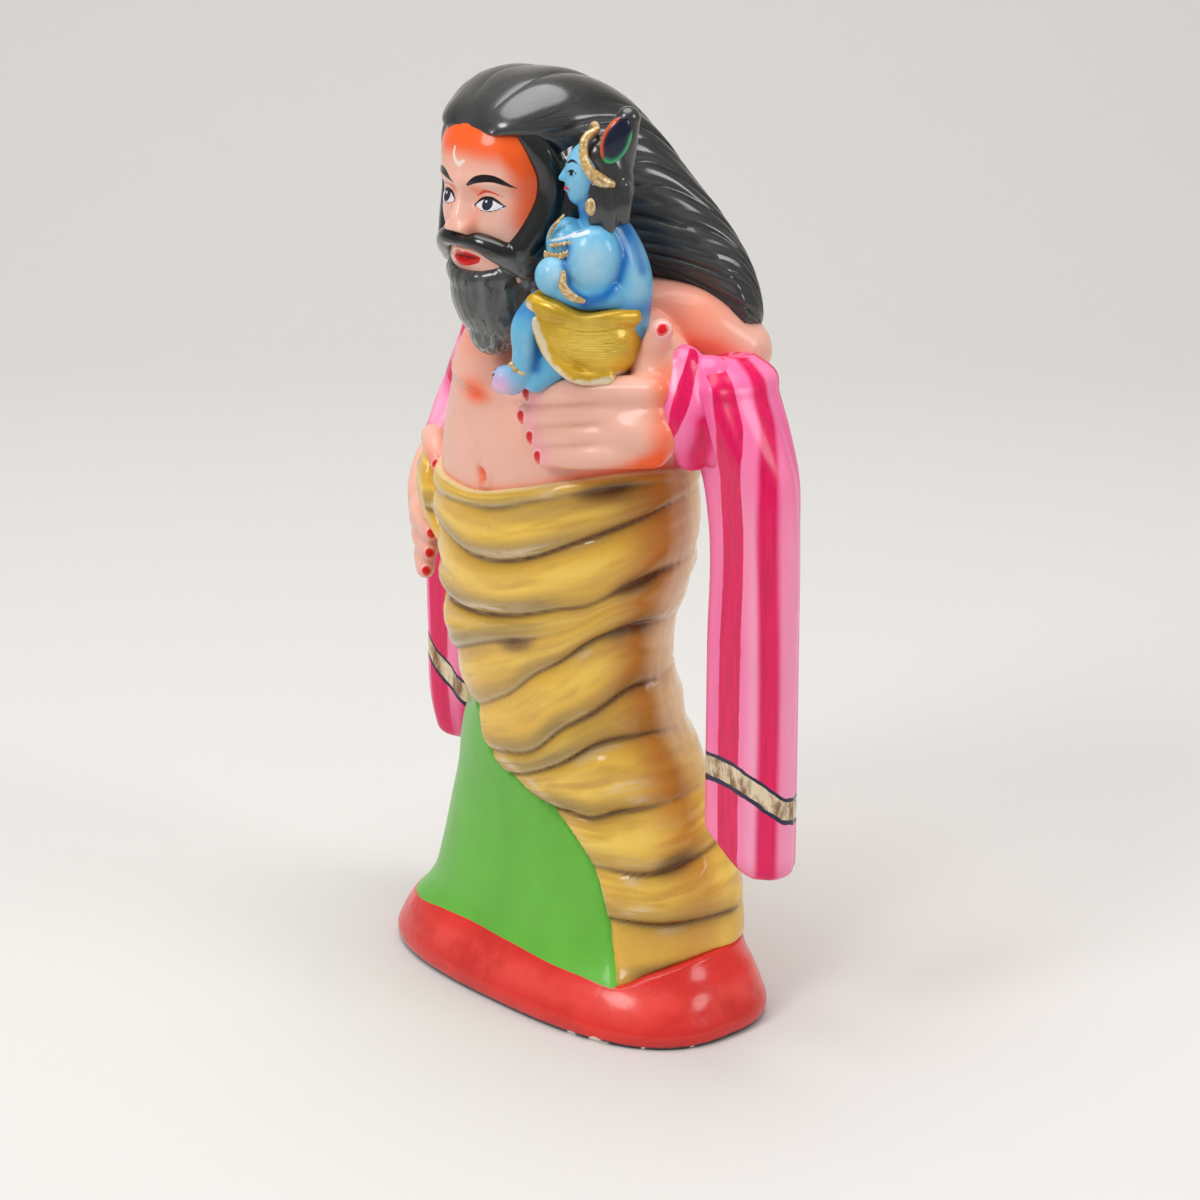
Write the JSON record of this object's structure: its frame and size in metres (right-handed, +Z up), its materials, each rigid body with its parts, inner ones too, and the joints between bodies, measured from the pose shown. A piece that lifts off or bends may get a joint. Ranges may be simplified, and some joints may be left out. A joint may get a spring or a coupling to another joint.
{
  "type": "golu doll",
  "caption": "Cast and hand-painted festival doll: a standing bearded man in a folded waist cloth, with a striped shawl over his arms and a small child seated on his left hand.",
  "frame": {"origin": "middle of the base's flat underside", "axes": "+Z up, the doll faces -Y, and its left side is +X"},
  "size_m": [0.1774, 0.0823, 0.2794],
  "materials": {
    "doll": "enamel paint under gloss varnish",
    "skin": "peach enamel with orange airbrushed shading, gloss varnish",
    "waist_cloth": "ochre enamel with brown airbrushed folds, gloss varnish",
    "skirt": "green enamel, gloss varnish",
    "base": "red enamel, gloss varnish, chipped at the rim",
    "shawl": "pink enamel with crimson stripes, gloss varnish",
    "hair": "black enamel, high gloss",
    "child_skin": "light blue enamel with deep blue airbrushed shading",
    "gold_paint": "brushed gold paint with a metallic lustre"
  },
  "bodies": {
    "root": {"doll": "doll"}
  },
  "joints": []
}
